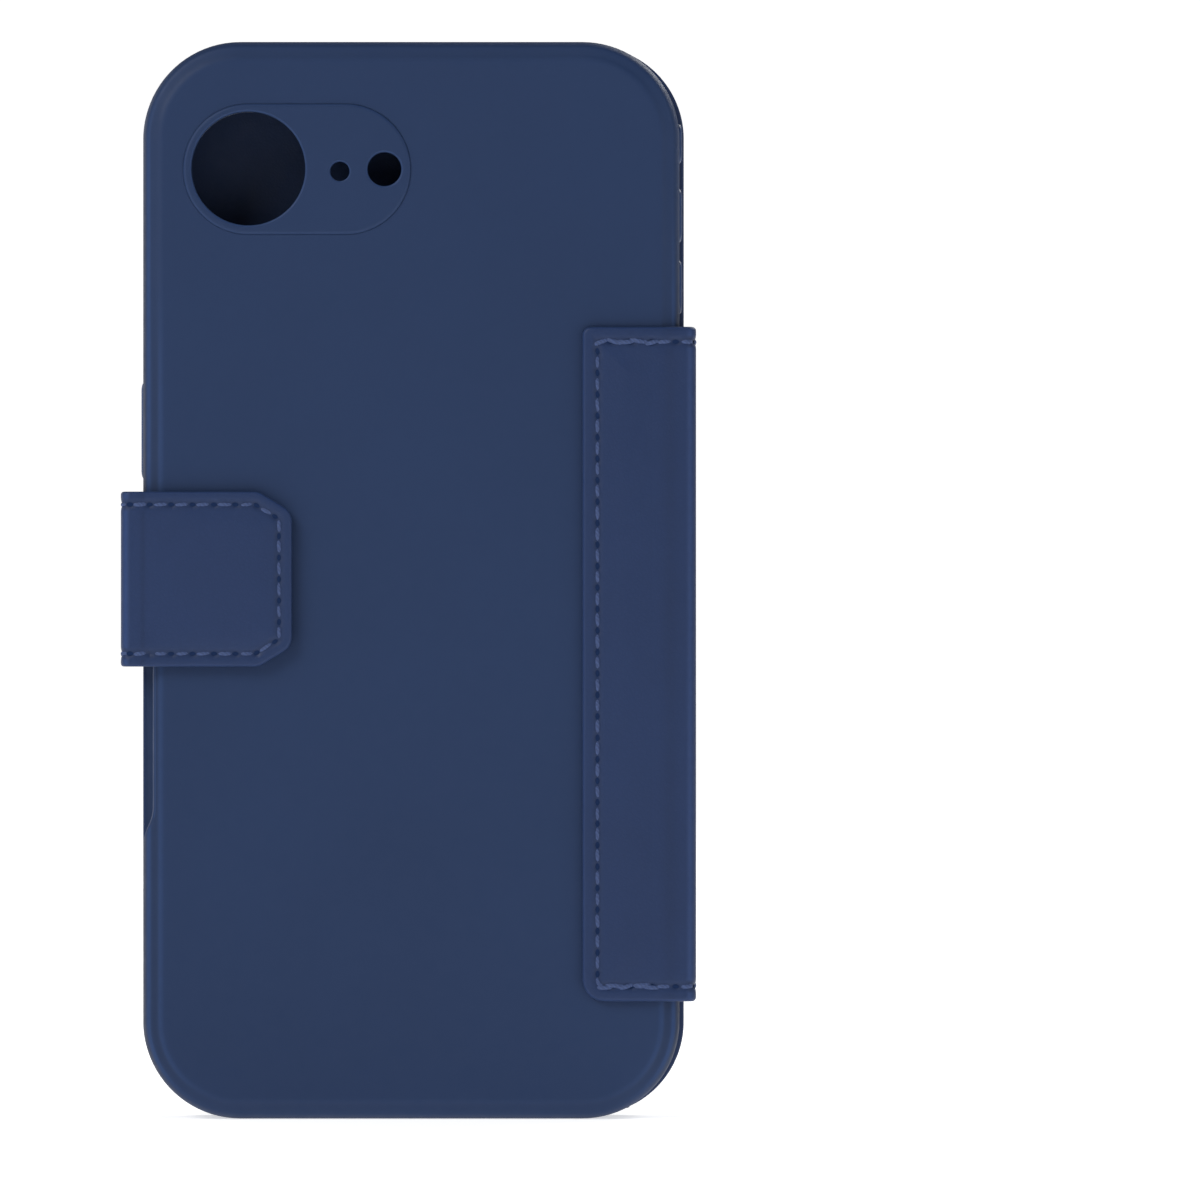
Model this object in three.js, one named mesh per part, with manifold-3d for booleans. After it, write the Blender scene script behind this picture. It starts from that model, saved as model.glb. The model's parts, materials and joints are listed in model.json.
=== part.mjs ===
// A folio case for a phone, with card pockets in its cover and a magnetic strap that holds it shut.
// Millimetres, +Z up. The case stands on its bottom edge, closed. The back of the phone looks along
// -Y, the cover along +Y, the spine is at +X and the strap at -X. The origin is the middle of the
// bottom of the whole closed case.

import * as THREE from 'three';
import { mergeVertices } from 'three/addons/utils/BufferGeometryUtils.js';
import Module from 'manifold-3d';

const wasm = await Module();
wasm.setup();

// Phone space and moulded shell. X is counted from the middle of the shell.
const phoneWidth = 71.8;
const phoneHeight = 147.0;
const phoneDepth = 7.9;
const wall = 1.4;
const shellCorner = 13.5;
const shellBackThickness = 1.6;
const edgeRound = 2.8;
const lipThickness = 1.0;
const lipOverhang = 1.2;
const shellLiningThickness = 0.45;
const shellWidth = phoneWidth + 2 * wall;
const shellHeight = phoneHeight + 2 * wall;
const shellHalf = shellWidth / 2;

// Layers through the case, from the cover's outer face inwards.
const glueGap = 0.05;
const foldGap = 0.3;
const coverOuter = 8.15;
const leather = 0.8;
const board = 0.6;
const liningSheet = 0.4;
const cashSheet = 0.4;
const cardSheet = 0.35;
const shellBack = -6.35;
const liningFace = shellBack + shellBackThickness + glueGap + shellLiningThickness;
const lipUnderside = liningFace + phoneDepth;
const shellFront = lipUnderside + lipThickness;
const phoneMiddle = (liningFace + lipUnderside) / 2;

// Cover panel.
const coverLeft = -37.8;
const coverRight = 38.1;
const coverCorner = 13.0;
const notchMiddle = -1.7;
const notchMouth = 19.5;
const notchFloor = 12.0;
const notchDepth = 3.9;
const notchMouthRadius = 2.6;
const notchFloorRadius = 2.2;
const seamInset = 2.1;
const boardInset = 3.6;
const boardTop = shellHeight - notchDepth - 1.8;

// Spine and the flap that fixes it to the back of the shell.
const spineOuter = 39.6;
const spineLow = 16.4;
const spineHigh = 110.1;
const spineLining = 0.45;
const flapOuter = -7.6;
const flapLeft = 23.8;
const flapLeather = 0.75;
const flapBacking = 0.4;
const flapCorner = 3.0;
const flapSeamLeft = 26.4;
const flapSeamHigh = 108.0;
const flapSeamLow = 18.2;

// Strap.
const strapOuter = -40.3;
const strapLow = 62.9;
const strapHigh = 87.2;
const strapTongueEnd = -29.7;
const strapSkin = 0.75;
const strapSideLining = 0.5;
const tabOuter = coverOuter * -1;
const tabTip = -16.5;
const tabThickness = 1.6;
const tabLeather = 0.7;
const tabChamferWide = 4.6;
const tabChamferHigh = 2.8;
const tabSeamTip = 2.2;
const tabSeamHigh = 1.8;
const tabSeamLow = 1.5;

// Thread bands and the grooves that they lie in.
const threadWidth = 0.5;
const threadDepth = 0.25;
const grooveWidth = 0.7;
const grooveDepth = 0.3;

// Camera plate, moulded with three holes, raised a little over the shell's back.
const plateLeft = -31.7;
const plateRight = 0;
const plateLow = 122.9;
const plateHigh = 141.1;
const plateProud = 0.3;
const plateSeat = 1.0;
const plateLedge = 1.1;
const plateClearance = 0.1;
const lensHole = { x: -22.6, z: 132.1, r: 7.9 };
const microphoneHole = { x: -9.9, z: 131.7, r: 1.35 };
const flashHole = { x: -3.7, z: 132.0, r: 2.35 };

// Openings in the walls of the shell.
const portSlot = { x: 0, width: 13, height: 6.2 };
const speakerSlots = [{ x: -19.5, width: 13, height: 3 }, { x: 19.5, width: 13, height: 3 }];
const sideWindow = { low: 39.3, high: 70.0, ramp: 3.0, back: -7.4, front: 2.6, round: 2.0 };

// Buttons: a cap through the wall on a flange behind it.
const buttonProud = 0.4;
const buttonHeight = 3.0;
const buttonClearance = 0.2;
const flangeRim = 0.6;
const flangeThickness = 0.35;
const flangeSeat = 0.8;
const buttons = [
  { name: 'power_button', side: -1, low: 89.0, high: 102.5 },
  { name: 'volume_down_button', side: 1, low: 112.0, high: 119.5 },
  { name: 'volume_up_button', side: 1, low: 122.0, high: 129.5 },
  { name: 'action_button', side: 1, low: 133.0, high: 138.5 },
];

// Magnet in the shell and its steel mate in the strap.
const magnet = { left: -34, right: -20, low: 69, high: 81, thickness: 0.9 };
const magnetPocket = 1.0;
const keeper = { left: -33, right: -21, low: 68, high: 82, thickness: 0.4 };
const keeperPocket = 0.5;
const insertClearance = 0.15;

// Card pockets: the mouths face the spine.
const cashMouth = 31.0;
const cardLeft = -34.6;
const cardLow = 27.0;
const cardHigh = 119.0;
const cardCorner = 2.0;
const backCardMouth = 24.0;
const frontCardMouth = 12.0;
const thumbRadius = 9.0;

const cornerSteps = 9;
const far = 200;

// ---- outlines -----------------------------------------------------------------------------

// Each corner is [x, z, radius], in turn anticlockwise. Inset moves every side inwards, and keeps
// round corners concentric.
function insetCorners(corners, inset) {
  const count = corners.length;
  return corners.map((corner, i) => {
    const before = corners[(i + count - 1) % count];
    const after = corners[(i + 1) % count];
    const a = new THREE.Vector2(corner[0] - before[0], corner[1] - before[1]).normalize();
    const b = new THREE.Vector2(after[0] - corner[0], after[1] - corner[1]).normalize();
    const turn = a.cross(b);
    const along = inset * (1 - a.dot(b)) / turn;
    const x = corner[0] + along * a.x * -1 - inset * a.y;
    const z = corner[1] + along * a.y * -1 + inset * a.x;
    const radius = turn > 0 ? Math.max(corner[2] - inset, 0) : corner[2] + inset;
    return [x, z, radius];
  });
}

// Points of the outline: the corner itself where its radius is 0, else an arc that touches both sides.
function outlinePoints(corners) {
  const points = [];
  const count = corners.length;
  corners.forEach((corner, i) => {
    const before = corners[(i + count - 1) % count];
    const after = corners[(i + 1) % count];
    const at = new THREE.Vector2(corner[0], corner[1]);
    if (corner[2] <= 0) {
      points.push(at);
      return;
    }
    const back = new THREE.Vector2(before[0], before[1]).sub(at).normalize();
    const on = new THREE.Vector2(after[0], after[1]).sub(at).normalize();
    const half = Math.acos(THREE.MathUtils.clamp(back.dot(on), -1, 1)) / 2;
    const centre = at.clone().addScaledVector(back.clone().add(on).normalize(), corner[2] / Math.sin(half));
    const start = at.clone().addScaledVector(back, corner[2] / Math.tan(half)).sub(centre);
    const end = at.clone().addScaledVector(on, corner[2] / Math.tan(half)).sub(centre);
    const sweep = Math.atan2(start.cross(end), start.dot(end));
    const steps = Math.max(2, Math.round(cornerSteps * Math.abs(sweep) / (Math.PI / 2)));
    for (let step = 0; step <= steps; step += 1) {
      points.push(start.clone().rotateAround(new THREE.Vector2(), sweep * step / steps).add(centre));
    }
  });
  return points;
}

function outline(corners, inset = 0) {
  return new THREE.Shape(outlinePoints(insetCorners(corners, inset)));
}

function rectangle(left, right, low, high, radius = 0) {
  return [[left, low, radius], [right, low, radius], [right, high, radius], [left, high, radius]];
}

function circle(hole, radius = hole.r) {
  return new THREE.Shape().absarc(hole.x, hole.z, radius, 0, 2 * Math.PI);
}

// A strip of even width along an open run of points, mitred at its corners.
function stripAlong(route, width) {
  const points = route.map(([x, z]) => new THREE.Vector2(x, z));
  const normals = points.slice(1).map((p, i) => {
    const d = p.clone().sub(points[i]).normalize();
    return new THREE.Vector2(-d.y, d.x);
  });
  const side = (sign) => points.map((p, i) => {
    const a = normals[Math.max(i - 1, 0)];
    const b = normals[Math.min(i, normals.length - 1)];
    const mitre = a.clone().add(b).normalize();
    return p.clone().addScaledVector(mitre, sign * width / 2 / mitre.dot(a));
  });
  return new THREE.Shape([...side(1), ...side(-1).reverse()]);
}

// ---- solids -------------------------------------------------------------------------------

// A flat piece whose outline lies in XZ, between two values of Y.
function panel(shape, y0, y1) {
  const settings = { depth: y1 - y0, bevelEnabled: false, curveSegments: 24 };
  const geometry = new THREE.ExtrudeGeometry(shape, settings);
  return geometry.rotateX(Math.PI / 2).translate(0, y1, 0);
}

function block(x0, x1, y0, y1, z0, z1) {
  return new THREE.BoxGeometry(x1 - x0, y1 - y0, z1 - z0)
    .translate((x0 + x1) / 2, (y0 + y1) / 2, (z0 + z1) / 2);
}

function solid(geometry) {
  const bare = geometry.clone();
  bare.deleteAttribute('normal');
  bare.deleteAttribute('uv');
  const merged = mergeVertices(bare, 1e-4);
  return new wasm.Manifold(new wasm.Mesh({
    numProp: 3,
    vertProperties: new Float32Array(merged.attributes.position.array),
    triVerts: new Uint32Array(merged.index.array),
  }));
}

function geometryOf(manifold) {
  const mesh = manifold.getMesh();
  const geometry = new THREE.BufferGeometry();
  geometry.setAttribute('position', new THREE.BufferAttribute(new Float32Array(mesh.vertProperties), 3));
  geometry.setIndex(new THREE.BufferAttribute(new Uint32Array(mesh.triVerts), 1));
  geometry.computeVertexNormals();
  return geometry;
}

function cut(geometry, ...tools) {
  return geometryOf(tools.reduce((left, tool) => left.subtract(solid(tool)), solid(geometry)));
}

function join(...geometries) {
  return geometryOf(geometries.map(solid).reduce((all, one) => all.add(one)));
}

// ---- moulded shell ------------------------------------------------------------------------

const cavityCorners = rectangle(
  -phoneWidth / 2, phoneWidth / 2, wall, wall + phoneHeight, shellCorner - wall,
);
const shellCorners = rectangle(-shellHalf, shellHalf, 0, shellHeight, shellCorner);
const plateCorners = rectangle(plateLeft, plateRight, plateLow, plateHigh, (plateHigh - plateLow) / 2 - 0.01);

function shellBody() {
  const depth = shellFront - shellBack - edgeRound;
  const blank = new THREE.ExtrudeGeometry(outline(shellCorners), {
    depth,
    bevelEnabled: true,
    bevelThickness: edgeRound,
    bevelSize: edgeRound,
    bevelOffset: -edgeRound,
    bevelSegments: 4,
  });
  return blank.rotateX(Math.PI / 2).translate(0, shellFront, 0);
}

// A round-ended slot through the bottom wall, centred on the phone's thickness.
function bottomSlot({ x, width, height }) {
  const shape = outline(rectangle(x - width / 2, x + width / 2, -height / 2, height / 2, height / 2 - 0.01));
  return new THREE.ExtrudeGeometry(shape, { depth: 2 * wall, bevelEnabled: false })
    .translate(0, phoneMiddle, -wall / 2);
}

// A rounded rectangle through a side wall, between two distances from the middle of the shell.
function sidePiece(side, low, high, height, radius, near, distant) {
  const shape = outline(rectangle(-height / 2, height / 2, low, high, radius));
  const geometry = new THREE.ExtrudeGeometry(shape, { depth: distant - near, bevelEnabled: false });
  geometry.applyMatrix4(new THREE.Matrix4().makeBasis(
    new THREE.Vector3(0, side, 0),
    new THREE.Vector3(0, 0, 1),
    new THREE.Vector3(side, 0, 0),
  ));
  return geometry.translate(side * near, phoneMiddle, 0);
}

// The window in the side wall: it opens the wall and the whole rounded edge behind it, and ramps out
// at both ends. The brim in front of it stays.
function sideCut() {
  const { low, high, ramp, back, front, round } = sideWindow;
  const corners = [
    [-shellHalf - wall, low - ramp, 0],
    [-shellHalf + wall, low + ramp, round],
    [-shellHalf + wall, high - ramp, round],
    [-shellHalf - wall, high + ramp, 0],
  ];
  return panel(outline(corners), back, front);
}

function buttonSlot({ side, low, high }) {
  const c = buttonClearance;
  const rim = flangeRim + c;
  const slot = sidePiece(
    side, low - c, high + c, buttonHeight + 2 * c, 1.2, shellHalf - wall, shellHalf + wall,
  );
  const seat = sidePiece(
    side, low - rim, high + rim, buttonHeight + 2 * rim, 1.4,
    shellHalf - 2 * wall, shellHalf - wall + flangeSeat,
  );
  return [slot, seat];
}

function makeShell() {
  const pocket = magnet;
  return cut(
    shellBody(),
    block(-far, far, shellFront, far, -far, far),
    panel(outline(cavityCorners), shellBack + shellBackThickness, lipUnderside),
    panel(outline(cavityCorners, lipOverhang), lipUnderside - wall, shellFront + wall),
    panel(outline(plateCorners, -plateClearance), shellBack - wall, shellBack + plateSeat),
    panel(outline(plateCorners, plateLedge), shellBack - wall, liningFace),
    block(
      pocket.left, pocket.right,
      shellBack + shellBackThickness - magnetPocket, shellBack + shellBackThickness + wall,
      pocket.low, pocket.high,
    ),
    bottomSlot(portSlot),
    ...speakerSlots.map(bottomSlot),
    sideCut(),
    ...buttons.flatMap(buttonSlot),
  );
}

function makeShellLining() {
  const y0 = liningFace - shellLiningThickness;
  const shape = outline(cavityCorners, foldGap);
  shape.holes.push(outline(plateCorners, plateLedge));
  return panel(shape, y0, liningFace);
}

function makeCameraPlate() {
  const shape = outline(plateCorners);
  [lensHole, microphoneHole, flashHole].forEach((hole) => shape.holes.push(circle(hole)));
  return panel(shape, shellBack - plateProud, shellBack + plateSeat - glueGap);
}

function makeShellMagnet() {
  const c = insertClearance;
  const y1 = shellBack + shellBackThickness - glueGap;
  return block(magnet.left + c, magnet.right - c, y1 - magnet.thickness, y1, magnet.low + c, magnet.high - c);
}

function makeButton({ side, low, high }) {
  const flangeNear = shellHalf - wall + flangeSeat - glueGap - flangeThickness;
  const cap = sidePiece(
    side, low, high, buttonHeight, 1.0, flangeNear + flangeThickness / 2, shellHalf + buttonProud,
  );
  const flange = sidePiece(
    side, low - flangeRim, high + flangeRim, buttonHeight + 2 * flangeRim, 1.2,
    flangeNear, flangeNear + flangeThickness,
  );
  return join(cap, flange);
}

// ---- spine and its flap ---------------------------------------------------------------------

const flapCorners = [
  [flapLeft, spineLow, flapCorner],
  [spineOuter, spineLow, 0],
  [spineOuter, spineHigh, 0],
  [flapLeft, spineHigh, 1.0],
];
const flapRoute = [
  [spineOuter - 0.6, flapSeamHigh],
  [flapSeamLeft, flapSeamHigh],
  [flapSeamLeft, flapSeamLow],
  [spineOuter - 0.6, flapSeamLow],
];

function makeFlapLeather() {
  const groove = panel(stripAlong(flapRoute, grooveWidth), flapOuter - 1, flapOuter + grooveDepth);
  return cut(panel(outline(flapCorners), flapOuter, flapOuter + flapLeather), groove);
}

function makeFlapBacking() {
  const y0 = flapOuter + flapLeather + glueGap;
  const shape = outline(rectangle(flapLeft + 0.6, shellHalf - 0.4, spineLow + 0.6, spineHigh - 0.6, 1.5));
  return panel(shape, y0, y0 + flapBacking);
}

function makeFlapThread() {
  return panel(stripAlong(flapRoute, threadWidth), flapOuter, flapOuter + threadDepth);
}

function makeSpineSheet(x0, x1) {
  const y0 = flapOuter + flapLeather + foldGap;
  return block(x0, x1, y0, coverOuter - leather - foldGap, spineLow, spineHigh);
}

// ---- cover ----------------------------------------------------------------------------------

function coverCorners(right = coverRight) {
  return [
    [coverLeft, 0, coverCorner],
    [right, 0, coverCorner],
    [right, shellHeight, coverCorner],
    [notchMiddle + notchMouth / 2, shellHeight, notchMouthRadius],
    [notchMiddle + notchFloor / 2, shellHeight - notchDepth, notchFloorRadius],
    [notchMiddle - notchFloor / 2, shellHeight - notchDepth, notchFloorRadius],
    [notchMiddle - notchMouth / 2, shellHeight, notchMouthRadius],
    [coverLeft, shellHeight, coverCorner],
  ];
}

function ring(corners, inset, width) {
  const shape = outline(corners, inset - width / 2);
  shape.holes.push(outline(corners, inset + width / 2));
  return shape;
}

function makeCoverLeather() {
  const y0 = coverOuter - leather;
  const sheet = join(
    panel(outline(coverCorners()), y0, coverOuter),
    block(coverRight - 2, spineOuter, y0, coverOuter, spineLow, spineHigh),
  );
  const groove = ring(coverCorners(), seamInset, grooveWidth);
  return cut(sheet, panel(groove, coverOuter - grooveDepth, coverOuter + 1));
}

function makeCoverThread() {
  return panel(ring(coverCorners(), seamInset, threadWidth), coverOuter - threadDepth, coverOuter);
}

const boardFace = coverOuter - leather - glueGap;
const tongueClearance = 0.3;

function makeCoverBoard() {
  const shape = outline(rectangle(coverLeft, coverRight, 0, boardTop + boardInset, coverCorner), boardInset);
  const notch = block(
    -far, strapTongueEnd + tongueClearance, -far, far,
    strapLow - tongueClearance, strapHigh + tongueClearance,
  );
  return cut(panel(shape, boardFace - board, boardFace), notch);
}

function makeStrapTongue() {
  return block(strapOuter, strapTongueEnd, boardFace - board, boardFace, strapLow, strapHigh);
}

const liningFaceOfCover = boardFace - board - glueGap;

function makeCoverLining() {
  return panel(outline(coverCorners(), 0.2), liningFaceOfCover - liningSheet, liningFaceOfCover);
}

const cashFace = liningFaceOfCover - liningSheet - glueGap;

function makeCashPocket() {
  const corners = [
    [coverLeft, 0, coverCorner],
    [cashMouth, 0, 0],
    [cashMouth, boardTop + 1, 0],
    [coverLeft, boardTop + 1, coverCorner],
  ];
  return panel(outline(corners, 0.5), cashFace - cashSheet, cashFace);
}

// A pocket sheet with a thumb cut-out in the middle of its mouth.
function makeCardPocket(mouth, face) {
  const shape = outline(rectangle(cardLeft, mouth, cardLow, cardHigh, cardCorner));
  const thumb = { x: mouth + thumbRadius * 0.45, z: (cardLow + cardHigh) / 2 };
  return cut(
    panel(shape, face - cardSheet, face),
    panel(circle(thumb, thumbRadius), face - cardSheet - 1, face + 1),
  );
}

// ---- strap ----------------------------------------------------------------------------------

function tabCorners() {
  return [
    [strapOuter, strapLow, 1.0],
    [tabTip - tabChamferWide, strapLow, 2.0],
    [tabTip, strapLow + tabChamferHigh, 2.0],
    [tabTip, strapHigh - tabChamferHigh, 2.0],
    [tabTip - tabChamferWide, strapHigh, 2.0],
    [strapOuter, strapHigh, 0],
  ];
}

const tabSeamRoute = [
  [strapOuter + 1.2, strapLow + tabSeamLow],
  [tabTip - tabChamferWide, strapLow + tabSeamLow],
  [tabTip - tabSeamTip, strapLow + tabChamferHigh + 1.0],
  [tabTip - tabSeamTip, strapHigh - tabChamferHigh - 1.0],
  [tabTip - tabChamferWide, strapHigh - tabSeamHigh],
  [strapOuter + 1.2, strapHigh - tabSeamHigh],
];

function makeStrapSide(x0, x1) {
  const y0 = tabOuter + tabThickness + foldGap;
  return block(x0, x1, y0, boardFace - board - foldGap, strapLow, strapHigh);
}

function makeTabLeather() {
  const groove = panel(stripAlong(tabSeamRoute, grooveWidth), tabOuter - 1, tabOuter + grooveDepth);
  return cut(panel(outline(tabCorners()), tabOuter, tabOuter + tabLeather), groove);
}

function makeTabThread() {
  return panel(stripAlong(tabSeamRoute, threadWidth), tabOuter, tabOuter + threadDepth);
}

const tabLiningOuter = tabOuter + tabLeather + glueGap;

function makeTabLining() {
  const pocket = block(
    keeper.left, keeper.right, tabLiningOuter - 1, tabLiningOuter + keeperPocket, keeper.low, keeper.high,
  );
  return cut(panel(outline(tabCorners(), 0.15), tabLiningOuter, tabOuter + tabThickness), pocket);
}

function makeKeeper() {
  const c = insertClearance;
  return block(
    keeper.left + c, keeper.right - c, tabLiningOuter + glueGap, tabLiningOuter + glueGap + keeper.thickness,
    keeper.low + c, keeper.high - c,
  );
}

// ---- assembly -------------------------------------------------------------------------------

const navy = 0x313f5d;
const navyDark = 0x2c3752;
const navyThread = 0x3c486e;
const steelGrey = 0x8b8f96;
const boardGrey = 0x55585e;

const group = new THREE.Group();
group.position.x = (Math.abs(strapOuter) - spineOuter) / 2;

function add(name, geometry, color, roughness, metalness = 0) {
  const mesh = new THREE.Mesh(geometry, new THREE.MeshStandardMaterial({ color, roughness, metalness }));
  mesh.name = name;
  group.add(mesh);
}

add('shell', makeShell(), navy, 0.55);
add('shell_lining', makeShellLining(), navyDark, 0.95);
add('camera_plate', makeCameraPlate(), navy, 0.55);
add('shell_magnet', makeShellMagnet(), steelGrey, 0.35, 1);
buttons.forEach((button) => add(button.name, makeButton(button), navy, 0.5));

add('back_flap_leather', makeFlapLeather(), navy, 0.6);
add('back_flap_backing', makeFlapBacking(), boardGrey, 0.8);
add('back_flap_thread', makeFlapThread(), navyThread, 0.8);

add('spine_leather', makeSpineSheet(spineOuter - leather, spineOuter), navy, 0.6);
const spineInner = spineOuter - leather - glueGap;
add('spine_lining', makeSpineSheet(spineInner - spineLining, spineInner), navyDark, 0.95);

add('cover_leather', makeCoverLeather(), navy, 0.6);
add('cover_thread', makeCoverThread(), navyThread, 0.8);
add('cover_board', makeCoverBoard(), boardGrey, 0.8);
add('cover_lining', makeCoverLining(), navyDark, 0.95);
add('cash_pocket', makeCashPocket(), navyDark, 0.7);
add('card_pocket_back', makeCardPocket(backCardMouth, cashFace - cashSheet - glueGap), navyDark, 0.7);
add('card_pocket_front', makeCardPocket(frontCardMouth, cashFace - cashSheet - cardSheet - 2 * glueGap),
  navyDark, 0.7);
add('strap_tongue', makeStrapTongue(), navy, 0.6);

add('strap_side_leather', makeStrapSide(strapOuter, strapOuter + strapSkin), navy, 0.6);
add('strap_side_lining', makeStrapSide(
  strapOuter + strapSkin + glueGap, strapOuter + strapSkin + glueGap + strapSideLining,
), navyDark, 0.9);

add('strap_tab_leather', makeTabLeather(), navy, 0.6);
add('strap_tab_lining', makeTabLining(), navyDark, 0.9);
add('strap_tab_thread', makeTabThread(), navyThread, 0.8);
add('strap_keeper_plate', makeKeeper(), steelGrey, 0.35, 1);

export default group;
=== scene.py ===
"""The looks of a folio phone case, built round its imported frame.

Lengths are millimetres until a mesh is made. Places come from the frame's nodes. The back of the
phone looks along -Y and the cover along +Y; the spine is at +X and the strap at -X.
"""
import json
import math
import random

import bmesh
import bpy
from mathutils import Matrix, Vector
from mathutils.geometry import tessellate_polygon


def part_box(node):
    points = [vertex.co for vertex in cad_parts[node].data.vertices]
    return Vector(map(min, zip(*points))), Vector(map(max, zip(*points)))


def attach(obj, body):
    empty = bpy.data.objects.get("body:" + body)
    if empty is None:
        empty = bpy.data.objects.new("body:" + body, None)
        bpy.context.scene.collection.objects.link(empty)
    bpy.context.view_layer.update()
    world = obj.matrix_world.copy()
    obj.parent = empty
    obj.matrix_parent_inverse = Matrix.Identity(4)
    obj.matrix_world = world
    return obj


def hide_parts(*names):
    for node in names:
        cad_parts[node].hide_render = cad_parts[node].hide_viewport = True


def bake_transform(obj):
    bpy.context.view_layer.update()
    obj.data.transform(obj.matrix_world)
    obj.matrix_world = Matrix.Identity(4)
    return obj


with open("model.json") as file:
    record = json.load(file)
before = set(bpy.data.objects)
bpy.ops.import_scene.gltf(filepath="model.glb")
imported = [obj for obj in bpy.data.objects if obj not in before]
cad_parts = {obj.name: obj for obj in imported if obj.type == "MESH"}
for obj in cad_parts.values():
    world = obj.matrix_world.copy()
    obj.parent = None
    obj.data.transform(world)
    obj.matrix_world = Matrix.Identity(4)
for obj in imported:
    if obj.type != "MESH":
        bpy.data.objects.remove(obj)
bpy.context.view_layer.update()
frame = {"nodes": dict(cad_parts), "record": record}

MM = 0.001
SEED = 7
dice = random.Random(SEED)


class Span:
    """The box of a CAD node, in millimetres."""

    def __init__(self, node):
        low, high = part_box(node)
        self.x0, self.y0, self.z0 = (v / MM for v in low)
        self.x1, self.y1, self.z1 = (v / MM for v in high)
        self.x, self.y, self.z = ((a + b) / 2 / MM for a, b in zip(low, high))


span = {name: Span(name) for name in frame["nodes"]}
SHELL = span["shell"]
COVER = span["cover_leather"]
LINING = span["cover_lining"]
FLAP = span["back_flap_leather"]
PLATE = span["camera_plate"]
TAB = span["strap_tab_leather"]

# ---- sizes ----

# The moulding, as in the CAD model. The ledge runs round its camera opening, under the plate.
WALL = 1.4
LIP = 1.0
LIP_OVERHANG = 1.2
BACK_WALL = 1.6
LEDGE = 1.1
SHELL_CORNER = 13.5
SHELL_DEPTH = SHELL.y1 - SHELL.y0
CAVITY_TOP = SHELL_DEPTH - LIP
PHONE_MIDDLE = span["power_button"].y

# The plate's holes: sideways from the moulding's middle, height, radius.
LENS_HOLE = (-22.6, 132.1, 7.9)
MICROPHONE_HOLE = (-9.9, 131.7, 1.35)
FLASH_HOLE = (-3.7, 132.0, 2.35)

# The openings in the foot: sideways from the middle, width, and size from back to front.
FOOT_SLOTS = ((0.0, 13.0, 6.2), (-19.5, 13.0, 3.0), (19.5, 13.0, 3.0))

# The side window, from one height to the other, with a ramp at each end.
WINDOW_LOW, WINDOW_HIGH, WINDOW_RAMP = 39.3, 70.0, 3.0

KEYS = ("power", "volume_down", "volume_up", "action")

# A key's flange, and how far its cap and the slot it moves in lie inside the flange's edge.
FLANGE = 0.35
CAP_INSET, SLOT_INSET = 0.6, 0.4

# The leather run, with the notch over the phone's speaker. Skin is the leather of the spine and the
# cover, and sheet the lining of the spine.
COVER_CORNER = 13.0
NOTCH = {"middle": -1.7, "mouth": 19.5, "floor": 12.0, "depth": 3.9}
FLAP_THICK = SHELL.y0 - FLAP.y0 - 0.05
SKIN = 0.8
SHEET = 0.45
FOLD_RADIUS = 1.6
FOLD_X = FLAP.x1 - FOLD_RADIUS

# How much of the flat flap and of the flat tab is made with the fold beside it.
FLAP_LEAD = 4.5
TAB_LEAD = 2.6

# Seams: the valley that they lie in, their thread, and the holes between the stitches.
SEAM_INSET = 2.1
TAB_SEAM_INSET = 1.8
SEAM_DEPTH = 0.14
STITCH_PITCH = 2.95
STITCH_LENGTH = 2.0
THREAD = 0.33
THREAD_SUNK = 0.03
HOLE_DEPTH = 0.24
HOLE_REACH = 0.45

# The swell inside the seams of the flap and the tab flattens towards the fold over these runs.
FLAP_SWELL_RUN = 6.0
TAB_SWELL_RUN = 5.0

# The longest step between the points of a wrapped strip, and the angle from which an edge is sharp.
WRAP_STEP = 0.3
CREASE = 32.0

# Where the painted highlight and shade lines beside the moulding's edge end: the roll by the flat of the
# back, the shoulder outside it, and the height over which both fade. The band between them is this deep.
ROLL_PAINTED_LINE_BELOW, SHOULDER_PAINTED_LINE_BELOW, PAINTED_LINE_FADE = 88.0, 116.0, 24.0
BAND_DEPTH = 0.5

# ---- outlines ----


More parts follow.
